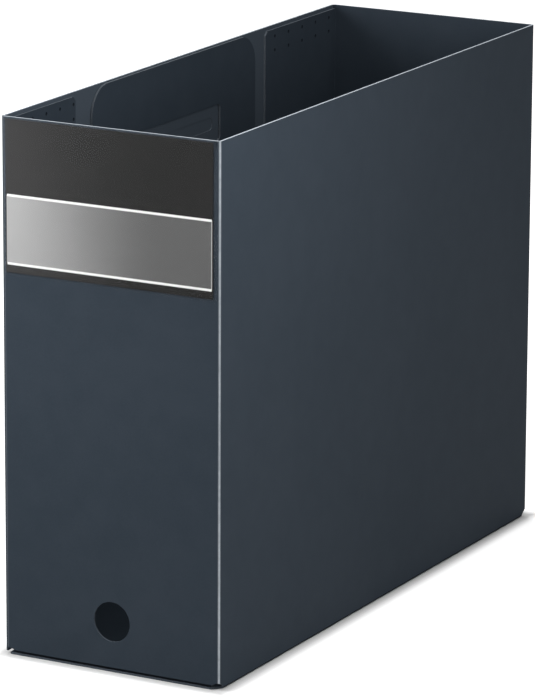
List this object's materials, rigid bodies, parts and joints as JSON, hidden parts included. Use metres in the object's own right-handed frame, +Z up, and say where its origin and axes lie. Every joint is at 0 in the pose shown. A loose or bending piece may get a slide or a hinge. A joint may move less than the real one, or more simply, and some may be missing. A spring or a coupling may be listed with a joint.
{
  "type": "box file",
  "caption": "Open-topped box file folded from dark slate plastic sheet, with weld tabs and a tongue inside, a clear title pocket with a plain card on the front and a round finger hole below it",
  "frame": {"origin": "on the surface the box stands on, under the middle of its overall width and depth", "axes": "+X towards the plain long wall, -Y towards the front panel with the title pocket and finger hole, +Z up through the open top"},
  "size_m": [0.112, 0.3186, 0.251],
  "materials": {
    "slate_sheet": "fine matte grain polypropylene sheet, paler on cut edges and on the upright folds",
    "slate_panel": "fine matte grain polypropylene sheet, paler on cut edges",
    "clear_film": "clear glossy film",
    "printed_card": "smooth printed card, charcoal with a silver band between two white rules"
  },
  "bodies": {
    "root": {"body_sheet": "slate_sheet", "side_panel": "slate_panel", "title_pocket": "clear_film", "title_card": "printed_card"}
  },
  "joints": []
}
